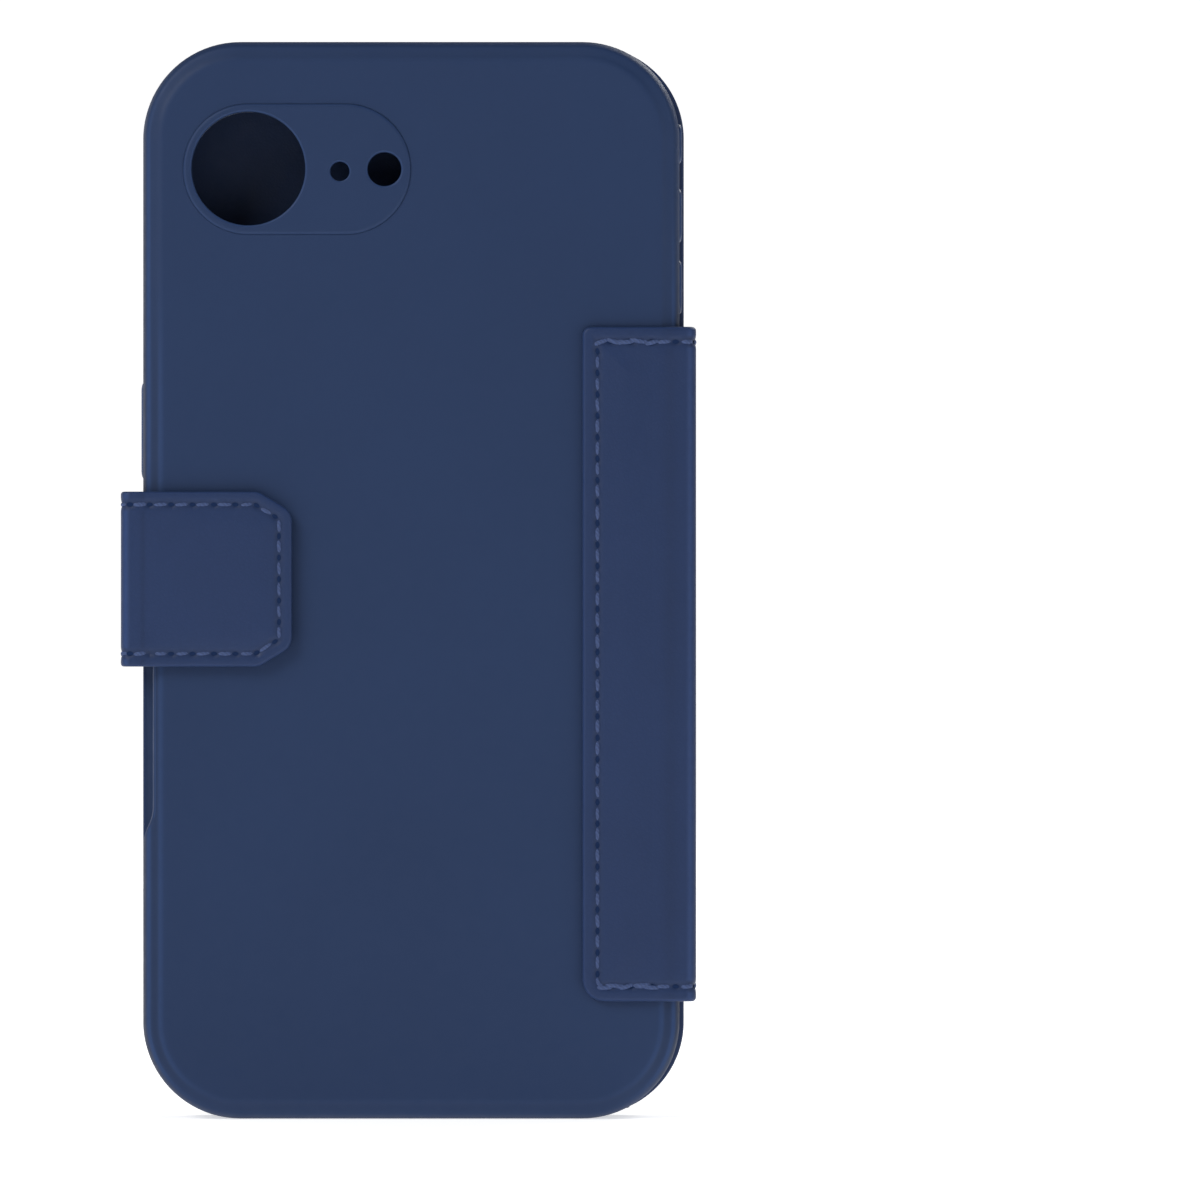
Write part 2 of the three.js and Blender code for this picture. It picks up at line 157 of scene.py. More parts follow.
class Outline:
    """Straight sides and round corners, which move inwards evenly. Corners are (u, v, radius),
    anticlockwise. An open outline starts and ends at its first and last corner."""

    def __init__(self, corners, is_open=False):
        self.corners = corners
        self.is_open = is_open

    def _neighbours(self, i):
        count = len(self.corners)
        before = self.corners[i - 1] if i or not self.is_open else None
        after = self.corners[(i + 1) % count] if i + 1 < count or not self.is_open else None
        return before, after

    def _moved(self, inset):
        moved = []
        for i, (u, v, radius) in enumerate(self.corners):
            before, after = self._neighbours(i)
            a = Vector((u - before[0], v - before[1])).normalized() if before else None
            b = Vector((after[0] - u, after[1] - v)).normalized() if after else None
            a, b = a or b, b or a
            turn = a.x * b.y - a.y * b.x
            along = inset * (1 - a.dot(b)) / turn if abs(turn) > 1e-9 else 0
            at = Vector((u - along * a.x - inset * a.y, v - along * a.y + inset * a.x))
            moved.append((at, max(radius - inset, 0) if turn > 0 else radius + inset, turn))
        return moved

    def runs(self, inset):
        """(centre, start, sweep) of each corner's arc; start is counted from the centre."""
        moved = self._moved(inset)
        arcs = []
        for i, (at, radius, turn) in enumerate(moved):
            before, after = self._neighbours(i)
            if not before or not after or radius <= 0:
                arcs.append((at, Vector((0, 0)), 0.0))
                continue
            back = (moved[i - 1][0] - at).normalized()
            on = (moved[(i + 1) % len(moved)][0] - at).normalized()
            half = back.angle(on) / 2
            centre = at + (back + on).normalized() * radius / math.sin(half)
            start = at + back * radius / math.tan(half) - centre
            arcs.append((centre, start, math.copysign(math.pi - 2 * half, turn)))
        return arcs

    def places(self, step, inset=0.0, least=5):
        """Where to put points: (corner, is it the side after it, share, distance along)."""
        arcs, placed, along = self.runs(inset), [], 0.0
        for i, (centre, start, sweep) in enumerate(arcs):
            length = start.length * abs(sweep)
            count = max(least, round(length / step)) if self.corners[i][2] else 1
            placed += [(i, False, k / count, along + length * k / count) for k in range(count)]
            along += length
            if self.is_open and i == len(arcs) - 1:
                placed = placed[: -count] + [(i, False, 0.0, along)]
                break
            side = (self.at(arcs, (i, True, 1, 0)) - self.at(arcs, (i, True, 0, 0))).length
            count = max(1, round(side / step))
            placed += [(i, True, k / count, along + side * k / count) for k in range(count)]
            along += side
        return placed, along

    @staticmethod
    def at(arcs, place):
        i, is_side, share, _ = place
        centre, start, sweep = arcs[i]
        if not is_side:
            return centre + turned(start, sweep * share)
        nxt = arcs[(i + 1) % len(arcs)]
        return (centre + turned(start, sweep)).lerp(nxt[0] + nxt[1], share)

    def points(self, inset, places):
        arcs = self.runs(inset)
        return [self.at(arcs, p) for p in places]


def turned(v, angle):
    c, s = math.cos(angle), math.sin(angle)
    return Vector((v.x * c - v.y * s, v.x * s + v.y * c))


def rounded(u0, u1, v0, v1, radius):
    return Outline([(u0, v0, radius), (u1, v0, radius), (u1, v1, radius), (u0, v1, radius)])


def disc(u, v, radius):
    return rounded(u - radius, u + radius, v - radius, v + radius, radius - 1e-4)


# ---- where a flat outline lies in the frame ----


def facing(face, way):
    """On a plane across Y that looks along +Y (way 1) or -Y (way -1)."""
    return lambda u, v, h: Vector((u, face + way * h, v))


def beside(face, way, middle):
    """On a plane across X. The outline's u runs along Y from the middle."""
    return lambda u, v, h: Vector((face + way * h, middle + u, v))


def under(face, middle):
    """On a plane across Z that looks down."""
    return lambda u, v, h: Vector((u, middle + v, face - h))


# ---- meshes ----


class Solid:
    """Points and faces of one piece. Painted light and wear runs from -1, painted shade in grooves, to
    1, painted highlights and rubbed wear on edges.
    """

    def __init__(self):
        self.points, self.wear, self.faces, self.paint = [], [], [], []

    def ring(self, points, wear=0.0):
        first = len(self.points)
        self.points += points
        self.wear += [wear] * len(points)
        return list(range(first, len(self.points)))

    def bridge(self, a, b, closed=True, paint=0):
        for i in range(len(a) if closed else len(a) - 1):
            j = (i + 1) % len(a)
            self.faces.append((a[i], a[j], b[j], b[i]))
            self.paint.append(paint)

    def cap(self, *loops, paint=0):
        if len(loops) == 1:
            self.faces.append(tuple(loops[0]))
            self.paint.append(paint)
            return
        flat = [i for loop in loops for i in loop]
        for triangle in tessellate_polygon([[self.points[i] for i in loop] for loop in loops]):
            self.faces.append(tuple(flat[k] for k in triangle))
            self.paint.append(paint)

    def build(self, name, *materials):
        mesh = bpy.data.meshes.new(name)
        mesh.from_pydata([p * MM for p in self.points], [], self.faces)
        mesh.attributes.new("wear", "FLOAT", "POINT").data.foreach_set("value", self.wear)
        mesh.polygons.foreach_set("material_index", self.paint)
        for material in materials:
            mesh.materials.append(material)
        tidy_mesh(mesh)
        obj = bpy.data.objects.new(name, mesh)
        bpy.context.scene.collection.objects.link(obj)
        return obj


def tidy_mesh(mesh):
    """Merges doubled points, turns faces outwards and shades smooth up to the crease angle."""
    bm = bmesh.new()
    bm.from_mesh(mesh)
    bmesh.ops.remove_doubles(bm, verts=bm.verts, dist=1e-7)
    bmesh.ops.dissolve_degenerate(bm, edges=bm.edges, dist=1e-8)
    bmesh.ops.recalc_face_normals(bm, faces=bm.faces)
    limit = math.radians(CREASE)
    for face in bm.faces:
        face.smooth = True
    for edge in bm.edges:
        edge.smooth = len(edge.link_faces) == 2 and edge.calc_face_angle(math.pi) < limit
    bm.to_mesh(mesh)
    bm.free()


def lay_ring(solid, outline, places, put, ring, kept=None):
    """One ring is (inset, height, painted light and wear, dip). Dip sinks it at the needle holes. Kept
    is a function that says how much of the height stays at a point."""
    inset, height, wear, dip = (*ring, 0)[:4]
    points = []
    for place, point in zip(places, outline.points(inset, places)):
        sunk = dip * hole_dip(place[3]) if dip else 0
        share = kept(point, inset, height) if kept else 1.0
        points.append(put(point.x, point.y, (height - sunk) * share))
    return solid.ring(points, wear)


def hole_dip(pitches):
    off = ((pitches + 0.5) % 1 - 0.5) * STITCH_PITCH
    return HOLE_DEPTH * math.exp(-((off / HOLE_REACH) ** 2))


def fitted_pitch(length):
    """The pitch nearest the usual one that divides a seam into whole stitches."""
    return length / max(round(length / STITCH_PITCH), 1)


def stacked(outline, rings, put, step=1.0, holes=(), places=None, solid=None, kept=None):
    """A solid from rings laid one after another, from the middle of the top to that of the foot.
    Holes are (outline, rings) of their own, from top to foot."""
    solid = solid or Solid()
    places = places or outline.places(step)[0]
    laid = [lay_ring(solid, outline, places, put, ring, kept) for ring in rings]
    tops, feet = [laid[0]], [laid[-1]]
    for a, b in zip(laid, laid[1:]):
        solid.bridge(a, b, closed=not outline.is_open)
    for hole, hole_rings in holes:
        around = hole.places(0.4, least=12)[0]
        cut = [lay_ring(solid, hole, around, put, ring) for ring in hole_rings]
        for a, b in zip(cut, cut[1:]):
            solid.bridge(a, b)
        tops.append(cut[0])
        feet.append(cut[-1])
    solid.cap(*tops)
    solid.cap(*feet)
    if outline.is_open:
        solid.cap([r[0] for r in laid] + [r[-1] for r in reversed(laid)])
    return solid


def finish_piece(obj, body, slot, *nodes):
    """Rides on a body. Given a blend (a, b, start, end) in place of a body, it makes no blend and only
    bakes in the transform.
    """
    if isinstance(body, str):
        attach(obj, body)
    else:
        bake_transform(obj)
    if nodes:
        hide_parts(*nodes)


def make_piece(solid, name, body, slot, *nodes):
    finish_piece(solid.build(name, *PAINTS[slot]), body, slot, *nodes)


# ---- edge shapes, as rings of (inset, height, painted light and wear, dip) ----


def turned_edge(thickness, radius=0.55, foot_radius=0.3):
    """A rounded edge from the face down to the foot."""
    steps = 6
    rings = []
    for k in range(steps + 1):
        angle = math.pi / 2 * k / steps
        drop = radius * (1 - math.cos(angle))
        # The third number lightens the edge where it has turned halfway round: partly rubbed wear,
        # partly painted highlight.
        rings.append((radius * (1 - math.sin(angle)), -drop, 0.4 * math.sin(2 * angle) ** 2))
    for k in range(1, 4):
        angle = math.pi / 2 * k / 3
        rings.append((foot_radius * (1 - math.cos(angle)),
                      -thickness + foot_radius * (1 - math.sin(angle)), 0))
    return rings


def seam_valley(inset):
    """The shallow trough that a tight seam pulls into the leather, from the inside out."""
    shape = [(0.95, 0.0, 0), (0.6, 0.25, 0), (0.32, 0.75, 0.55), (0.0, 1.0, 1.0),
             (-0.32, 0.75, 0.55), (-0.6, 0.25, 0), (-0.95, 0.0, 0)]
    # The third number darkens the valley as painted shade.
    return [(inset + off, -SEAM_DEPTH * share, -0.5 * share, dip) for off, share, dip in shape]


def crowned(inset, rise, width):
    """The soft swell of the field inside a seam, from its crown outwards."""
    steps = 5
    return [(inset + width * (1 - k / steps), rise * math.cos(math.pi / 2 * k / steps) ** 2, 0)
            for k in range(steps)]


# ---- materials ----

# What the gloss adds to every colour under this light, and how much lighter the thread looks than
# its slot's colour.
REFLECTED = 0.019
THREAD_LIGHT = (1.5, 1.5, 1.3)
slot_colour = {m["slot"]: [max(c - REFLECTED, 0.0) for c in m["base_color"][:3]]
               for m in frame["record"]["materials"]}


class Paint:
    """A material with its Principled shader, and short ways to add and join nodes."""

    def __init__(self, name, roughness, **fixed):
        self.material = bpy.data.materials.new(name)
        self.material.use_nodes = True
        self.tree = self.material.node_tree
        self.shader = self.tree.nodes["Principled BSDF"]
        self.shader.inputs["Roughness"].default_value = roughness
        for socket, value in fixed.items():
            self.shader.inputs[socket.replace("_", " ")].default_value = value
        self.place = self.add("ShaderNodeTexCoord").outputs["Object"]

    def add(self, kind, inputs=None, **settings):
        node = self.tree.nodes.new(kind)
        for key, value in settings.items():
            setattr(node, key, value)
        for key, value in (inputs or {}).items():
            if isinstance(value, bpy.types.NodeSocket):
                self.tree.links.new(value, node.inputs[key])
            else:
                node.inputs[key].default_value = value
        return node

    def noise(self, scale, detail=3.0, roughness=0.55, distortion=0.0):
        return self.add("ShaderNodeTexNoise", {
            "Vector": self.place, "Scale": scale, "Detail": detail, "Roughness": roughness,
            "Distortion": distortion,
        }).outputs["Fac"]

    def cells(self, scale):
        """The distance to the edge of irregular cells, such as the pebbles of a grain."""
        wobble = self.add("ShaderNodeTexNoise", {"Vector": self.place, "Scale": scale * 0.6})
        moved = self.add("ShaderNodeVectorMath", {0: wobble.outputs["Color"], "Scale": 0.6 / scale},
                         operation="SCALE").outputs[0]
        at = self.add("ShaderNodeVectorMath", {0: self.place, 1: moved}, operation="ADD").outputs[0]
        return self.add("ShaderNodeTexVoronoi", {"Vector": at, "Scale": scale},
                        feature="DISTANCE_TO_EDGE").outputs["Distance"]

    def remap(self, value, low, high, to_low, to_high):
        return self.add("ShaderNodeMapRange", {
            "Value": value, "From Min": low, "From Max": high, "To Min": to_low, "To Max": to_high,
        }).outputs["Result"]

    def mix(self, factor, a, b):
        node = self.add("ShaderNodeMix", data_type="RGBA")
        for socket, value in ((node.inputs[0], factor), (node.inputs[6], a), (node.inputs[7], b)):
            if isinstance(value, bpy.types.NodeSocket):
                self.tree.links.new(value, socket)
            else:
                socket.default_value = value
        return node.outputs[2]

    def light_and_wear_tone(self, tone, colour):
        """Painted shade where painted light and wear is below zero, and lighter where it is above:
        painted highlights and rubbed wear.
        """
        wear = self.add("ShaderNodeAttribute", attribute_name="wear").outputs["Fac"]
        patchy = self.remap(self.noise(900.0), 0.3, 0.7, 0.75, 1.0)
        wear = self.add("ShaderNodeMath", {0: wear, 1: patchy}, operation="MULTIPLY").outputs[0]
        tone = self.mix(self.remap(wear, 0.0, -1.0, 0.0, 0.6), tone, shade(colour, 0.35))
        return self.mix(self.remap(wear, 0.0, 1.0, 0.0, 0.5), tone, shade(colour, 2.2))

    def bump(self, height, strength, distance, normal=None):
        inputs = {"Height": height, "Strength": strength, "Distance": distance}
        if normal:
            inputs["Normal"] = normal
        return self.add("ShaderNodeBump", inputs).outputs["Normal"]

    def finish(self, colour=None, roughness=None, normal=None):
        for socket, value in (("Base Color", colour), ("Roughness", roughness), ("Normal", normal)):
            if value is not None:
                self.tree.links.new(value, self.shader.inputs[socket])
        return self.material


def shade(colour, factor):
    return (*[min(c * factor, 1.0) for c in colour], 1.0)


def moulding(slot, roughness):
    """Soft-touch moulded plastic: a fine matt bloom, with painted highlight and shade lines and rubbed
    wear along its edges.
    """
    paint = Paint(slot, roughness, IOR=1.4, Specular_IOR_Level=0.4,
                  Sheen_Weight=0.02, Sheen_Roughness=0.4)
    colour = slot_colour[slot]
    cloud = paint.noise(38.0, detail=2.0)
    tone = paint.mix(paint.remap(cloud, 0.3, 0.7, 0.0, 1.0), shade(colour, 0.97), shade(colour, 1.03))
    tone = paint.light_and_wear_tone(tone, colour)
    speck = paint.noise(9000.0, detail=2.0)
    rough = paint.remap(paint.noise(420.0), 0.3, 0.7, roughness - 0.05, roughness + 0.05)
    return paint.finish(tone, rough, paint.bump(speck, 0.16, 0.00002))


def coated_leather(slot, roughness, grain, depth):
    """Smooth coated leather: fine pebbled grain, soft mottling, edges rubbed lighter, and painted
    highlights and shade at folds and seams.
    """
    paint = Paint(slot, roughness, IOR=1.4, Specular_IOR_Level=0.4,
                  Sheen_Weight=0.03, Sheen_Roughness=0.4)
    colour = slot_colour[slot]
    cloud = paint.noise(45.0, detail=3.0, distortion=0.4)
    tone = paint.mix(paint.remap(cloud, 0.3, 0.7, 0.0, 1.0), shade(colour, 0.95), shade(colour, 1.05))
    pebble = paint.cells(grain)
    tone = paint.mix(paint.remap(pebble, 0.0, 0.12, 0.16, 0.0), tone, shade(colour, 0.72))
    tone = paint.light_and_wear_tone(tone, colour)
    rough = paint.remap(paint.noise(600.0), 0.3, 0.7, roughness - 0.06, roughness + 0.06)
    relief = paint.bump(paint.remap(pebble, 0.0, 0.25, 0.0, 1.0), depth, 0.00004)
    relief = paint.bump(paint.noise(5200.0, detail=2.0), 0.12, 0.00002, relief)
    return paint.finish(tone, rough, relief)


def napped_cloth(slot):
    """Microfibre: short matted nap with a strong soft sheen."""
    paint = Paint(slot, 0.95, Specular_IOR_Level=0.2, Sheen_Weight=0.45, Sheen_Roughness=0.6)
    colour = slot_colour[slot]
    nap = paint.noise(3400.0, detail=4.0, roughness=0.7, distortion=0.8)
    brushed = paint.noise(160.0, detail=3.0, distortion=1.2)
    tone = paint.mix(paint.remap(nap, 0.3, 0.7, 0.0, 1.0), shade(colour, 0.72), shade(colour, 1.22))
    tone = paint.mix(paint.remap(brushed, 0.4, 0.65, 0.0, 0.35), tone, shade(colour, 1.4))
    return paint.finish(tone, None, paint.bump(nap, 0.55, 0.00008))


def twisted_thread(slot):
    """Polyester thread: fine filaments and a slight shine."""
    paint = Paint(slot, 0.62, Specular_IOR_Level=0.4, Sheen_Weight=0.04, Sheen_Roughness=0.4)
    colour = [c * light for c, light in zip(slot_colour[slot], THREAD_LIGHT)]
    ply = paint.add("ShaderNodeTexWave", {
        "Vector": paint.place, "Scale": 900.0, "Distortion": 2.0, "Detail": 1.0,
    }, bands_direction="DIAGONAL").outputs["Fac"]
    fibre = paint.noise(7000.0, detail=3.0)
    tone = paint.mix(ply, shade(colour, 0.85), shade(colour, 1.18))
    tone = paint.mix(paint.remap(fibre, 0.35, 0.65, 0.0, 0.3), tone, shade(colour, 0.7))
    return paint.finish(tone, None, paint.bump(ply, 0.5, 0.00006, paint.bump(fibre, 0.3, 0.00002)))


def needle_hole_shade(slot):
    """Painted shade at the bottom of a needle hole: the leather's own colour, darkened."""
    paint = Paint("needle_hole_shade", 0.9, Specular_IOR_Level=0.1)
    colour = slot_colour[slot]
    grit = paint.noise(4000.0)
    return paint.finish(paint.mix(grit, shade(colour, 0.55), shade(colour, 0.95)),
                        None, paint.bump(grit, 0.3, 0.00003))


def fibre_board(slot):
    """Pressed grey fibre board with flecks."""
    paint = Paint(slot, 0.9, Specular_IOR_Level=0.2)
    colour = slot_colour[slot]
    fleck = paint.noise(1800.0, detail=5.0, roughness=0.8, distortion=1.5)
    tone = paint.mix(paint.remap(fleck, 0.35, 0.7, 0.0, 1.0), shade(colour, 0.7), shade(colour, 1.3))
    return paint.finish(tone, None, paint.bump(fleck, 0.4, 0.00005))


def plated_steel(slot):
    """Nickel plating with fine brush marks."""
    paint = Paint(slot, 0.34, Metallic=1.0)
    colour = slot_colour[slot]
    stretched = paint.add("ShaderNodeMapping", {"Vector": paint.place, "Scale": (60.0, 900.0, 6000.0)})
    marks = paint.add("ShaderNodeTexNoise", {"Vector": stretched.outputs[0], "Scale": 1.0,
                                             "Detail": 3.0}).outputs["Fac"]
    tone = paint.mix(paint.noise(240.0), shade(colour, 0.86), shade(colour, 1.12))
    return paint.finish(tone, paint.remap(marks, 0.3, 0.7, 0.26, 0.44), paint.bump(marks, 0.2, 0.00001))


# The materials of each slot. A thread's piece has the floors of its needle holes too, painted dark as
# shade.
PAINTS = {
    "moulded_shell": [moulding("moulded_shell", 0.56)],
    "button_cap": [moulding("button_cap", 0.44)],
    "skin_leather": [coated_leather("skin_leather", 0.5, 1500.0, 0.22)],
    "pocket_leather": [coated_leather("pocket_leather", 0.56, 1800.0, 0.3)],
    "microfibre": [napped_cloth("microfibre")],
    "thread": [twisted_thread("thread"), needle_hole_shade("skin_leather")],
    "stiffener": [fibre_board("stiffener")],
    "magnet_steel": [plated_steel("magnet_steel")],
}

# ---- stitches ----


class Route:
    """A run of points with normals, walked by distance."""

    def __init__(self, points, normals):
        self.points, self.normals, self.reach = points, normals, [0.0]
        for a, b in zip(points, points[1:]):
            self.reach.append(self.reach[-1] + (b - a).length)
        self.length = self.reach[-1]

    def at(self, distance):
        distance = min(max(distance, 0.0), self.length)
        last = len(self.reach) - 1
        i = next((k for k in range(1, last) if self.reach[k] >= distance), last)
        gap = self.reach[i] - self.reach[i - 1]
        share = (distance - self.reach[i - 1]) / gap if gap else 0.0
        point = self.points[i - 1].lerp(self.points[i], share)
        normal = self.normals[i - 1].lerp(self.normals[i], share).normalized()
        along = (self.points[i] - self.points[i - 1]).normalized()
        return point, normal, along


def add_stitch(solid, route, start, end, thick, skew, lift=0.0):
    """One stitch: thread that rises out of one hole and dives into the next."""
    stations, sides = 8, 8
    rings = []
    for k in range(stations + 1):
        t = k / stations
        point, normal, along = route.at(start + (end - start) * t)
        side = normal.cross(along).normalized()
        arch = math.sin(math.pi * min(max(t, 0.02), 0.98)) ** 0.55
        centre = point + normal * (lift - THREAD_SUNK - 0.3 * (1 - arch)) + side * skew * (t - 0.5)
        width = thick * (0.62 + 0.38 * arch)
        rings.append(solid.ring([
            centre + side * width * math.cos(a) + normal * width * 0.72 * math.sin(a)
            for a in (2 * math.pi * j / sides for j in range(sides))
        ]))
    for a, b in zip(rings, rings[1:]):
        solid.bridge(a, b)
    solid.cap(rings[0])
    solid.cap(rings[-1])


def add_hole(solid, route, distance, long, wide, sink):
    """The floor of a needle hole, as a small dished oval painted dark as shade."""
    point, normal, along = route.at(distance)
    side = normal.cross(along).normalized()
    sides = 12
    rim, floor = (solid.ring([
        point + (along * long * math.cos(a) + side * wide * math.sin(a)) * share - normal * deep
        for a in (2 * math.pi * j / sides for j in range(sides))
    ]) for share, deep in ((1.0, sink), (0.5, sink + 0.16)))
    solid.bridge(rim, floor, paint=1)
    solid.cap(rim, paint=1)
    solid.cap(floor, paint=1)


def stitch_row(solid, route, thick=THREAD, lift=0.0, sink=0.05, ends=(True, True)):
    """Stitches from hole to hole along a route. Ends says whether it has a hole at its start and
    at its end: where a seam runs on in the next piece, only one of the two has it."""
    pitch = fitted_pitch(route.length)
    count = round(route.length / pitch)
    gap = (pitch - STITCH_LENGTH) / 2
    for k in range(count):
        skew = dice.uniform(-0.12, 0.12) + 0.1
        add_stitch(solid, route, k * pitch + gap + dice.uniform(-0.1, 0.1),
                   (k + 1) * pitch - gap + dice.uniform(-0.1, 0.1),
                   thick * dice.uniform(0.9, 1.1), skew, lift)
    at_start, at_end = ends
    for k in range(0 if at_start else 1, count + 1 if at_end else count):
        add_hole(solid, route, k * pitch, thick * 1.5, thick * 0.9, sink)


def seam_route(outline, inset, put, height=0.0):
    places, _ = outline.places(0.4, inset)
    points = [put(p.x, p.y, height) for p in outline.points(inset, places)]
    if not outline.is_open:
        points.append(points[0])
    normal = (put(0, 0, 1) - put(0, 0, 0)).normalized()
    return Route(points, [normal] * len(points))


def seam_places(outline, inset):
    """Places for a panel with a seam, whose distances are counted in stitches along it."""
    places, length = outline.places(0.36, inset)
    pitch = fitted_pitch(length)
    return [(i, is_side, share, along / pitch) for i, is_side, share, along in places]


# ---- moulded shell ----

shell_outline = rounded(SHELL.x0, SHELL.x1, SHELL.z0, SHELL.z1, SHELL_CORNER)
plate_radius = (PLATE.z1 - PLATE.z0) / 2 - 0.01
plate_outline = rounded(PLATE.x0, PLATE.x1, PLATE.z0, PLATE.z1, plate_radius)


def shell_rings():
    """From the middle of the back, over the rolled edge, down the wall, round the lip and in."""
    # Each ring's third number is painted light: painted highlight lines on the roll and the shoulder,
    # painted shade in the band between them and down the shoulder's outer side, and lighter rounded
    # edges at the brim and the lip.
    roll = [(4.2, 0.0, 0), (3.4, 0.0, 0), (3.0, 0.0, 0.1), (2.75, -0.01, 0.4), (2.5, -0.05, 0.6),
            (2.28, -0.12, 0.5), (2.1, -0.2, 0), (1.9, -0.28, -0.35)]
    band = [(1.6, -0.36, -0.4), (1.35, -0.42, -0.25), (1.15, -0.47, 0.2)]
    shoulder = [(0.98, -0.52, 0.9), (0.8, -0.6, 1.0), (0.62, -0.74, 0.7), (0.42, -1.0, -0.5),
                (0.22, -1.38, -1.0), (0.08, -1.8, -1.0), (0.01, -2.3, -0.7), (0.0, -2.8, -0.2)]
    wall = [(0.0, -5.0, 0), (0.0, -8.0, 0), (0.0, -SHELL_DEPTH + 0.8, 0)]
    brim = [(0.06, -SHELL_DEPTH + 0.5, 0.3), (0.22, -SHELL_DEPTH + 0.22, 0.8),
            (0.5, -SHELL_DEPTH + 0.05, 0.8), (0.8, -SHELL_DEPTH, 0.2)]
    edge = WALL + LIP_OVERHANG
    lip = [(edge - 0.4, -SHELL_DEPTH, 0.2), (edge - 0.12, -SHELL_DEPTH + 0.12, 0.6),
           (edge, -SHELL_DEPTH + 0.4, 0), (edge, -CAVITY_TOP - 0.3, 0),
           (edge - 0.15, -CAVITY_TOP - 0.08, 0), (edge - 0.4, -CAVITY_TOP, 0), (WALL, -CAVITY_TOP, 0)]
    inside = [(WALL, -CAVITY_TOP + 1.2, 0), (WALL, -BACK_WALL - 0.6, 0),
              (WALL + 0.18, -BACK_WALL - 0.18, 0), (WALL + 0.6, -BACK_WALL, 0)]
    return roll + band + shoulder + wall + brim + lip + inside


def flared(depth, flare=0.3):
    """A cutter that rounds the mouth that it leaves."""
    return [(-flare, 1.5, 0), (-flare, 0.02, 0), (-flare * 0.62, -flare * 0.1, 0),
            (-flare * 0.29, -flare * 0.3, 0), (-flare * 0.08, -flare * 0.62, 0), (0.0, -flare, 0),
            (0.0, -depth, 0)]


def key_side(key):
    """Which way a key looks along X, and where the wall's face is on that side."""
    return (1, SHELL.x1) if key.x > SHELL.x else (-1, SHELL.x0)


def key_outline(key, inset, corner):
    return rounded(key.y0 + inset - key.y, key.y1 - inset - key.y, key.z0 + inset, key.z1 - inset,
                   corner)


def shell_cutters():
    """All that is cut out of the moulding, as one piece."""
    solid = Solid()
    seat = PLATE.y1 - SHELL.y0 + 0.05
    camera = [(-0.02, 1.5, 0), (-0.02, -seat, 0), (LEDGE, -seat, 0), (LEDGE, -3.0, 0)]
    stacked(plate_outline, camera, facing(SHELL.y0, -1), 0.5, solid=solid)
    for aside, wide, deep in FOOT_SLOTS:
        middle = SHELL.x + aside
        slot = rounded(middle - wide / 2, middle + wide / 2, -deep / 2, deep / 2, deep / 2 - 0.01)
        stacked(slot, flared(2 * WALL), under(SHELL.z0, PHONE_MIDDLE), 0.4, solid=solid)
    for name in KEYS:
        key = span[name + "_button"]
        way, face = key_side(key)
        inner = [(0.0, -0.6, 0), (-0.6, -0.6, 0), (-0.6, -2 * WALL, 0)]
        stacked(key_outline(key, SLOT_INSET, 1.4), flared(0.6, 0.18)[:-1] + inner,
                beside(face, way, key.y), 0.4, solid=solid)
    cut_side_window(solid)
    return solid.build("cutters", *PAINTS["moulded_shell"])


def cut_side_window(solid):
    """The window over the phone's side key, with soft ramps at both ends."""
    low, high, ramp = WINDOW_LOW, WINDOW_HIGH, WINDOW_RAMP
    out, skin, deep = SHELL.x0 - 3.0, SHELL.x0 - 0.02, SHELL.x0 + WALL
    shape = Outline([
        (out, low - ramp, 0), (skin, low - ramp, 0), (skin, low - 0.4, 5.0), (deep, low + ramp, 5.0),
        (deep, high - ramp, 5.0), (skin, high + 0.4, 5.0), (skin, high + ramp, 0), (out, high + ramp, 0),
    ])
    front = 2.6
    through = SHELL.y0 - front
    # The rings' third numbers paint the window's cut edge, which the cut carries over to the moulding:
    # painted shade just inside it and a painted highlight line round its mouth.
    rings = [(0.3, 0.0, 0), (0.09, -0.09, 0), (0.0, -0.3, 0), (0.0, through + 1.05, -0.5),
             (-0.03, through + 0.85, 0.1), (-0.1, through + 0.65, 0.45), (-0.22, through + 0.48, 0.6),
             (-0.4, through + 0.36, 0.4), (-0.4, through - 1.0, 0)]
    stacked(shape, rings, facing(front, 1), 0.5, solid=solid)


def carve(obj, cutter):
    """Cuts one piece by another. The cut is worked in millimetres, where it stays exact."""
    for piece in (obj, cutter):
        piece.data.transform(Matrix.Scale(1 / MM, 4))
    cut = obj.modifiers.new("cut", "BOOLEAN")
    cut.object, cut.operation, cut.solver = cutter, "DIFFERENCE", "EXACT"
    made = bpy.data.meshes.new_from_object(obj.evaluated_get(bpy.context.evaluated_depsgraph_get()))
    obj.modifiers.clear()
    obj.data = made
    made.transform(Matrix.Scale(MM, 4))
    bpy.data.objects.remove(cutter)
    tidy_mesh(made)


def painted_edge_share(point):
    """How much of its painted highlight and shade lines the edge shows: all along its sides, and hardly
    any at its two ends. The roll near the flat of the back loses them lower down than the shoulder
    outside it."""
    height = point.z - SHELL.z0
    top = ROLL_PAINTED_LINE_BELOW if point.y - SHELL.y0 < BAND_DEPTH else SHOULDER_PAINTED_LINE_BELOW
    above_foot = smooth_share((height - 1.5) / 8.0)
    near_top = smooth_share((height + point.x / 4 - top) / PAINTED_LINE_FADE)
    return 0.1 + 0.9 * above_foot * (1 - near_top)


def smooth_share(share):
    share = min(max(share, 0.0), 1.0)
    return share * share * (3 - 2 * share)


def make_shell():
    solid = stacked(shell_outline, shell_rings(), facing(SHELL.y0, -1), 1.0)
    # The painted highlight and shade lines along the edge fade out at the foot and towards the top.
    solid.wear = [wear * painted_edge_share(point) for wear, point in zip(solid.wear, solid.points)]
    shell = solid.build("shell_moulding", *PAINTS["moulded_shell"])
    carve(shell, shell_cutters())
    finish_piece(shell, "shell_body", "moulded_shell", "shell")


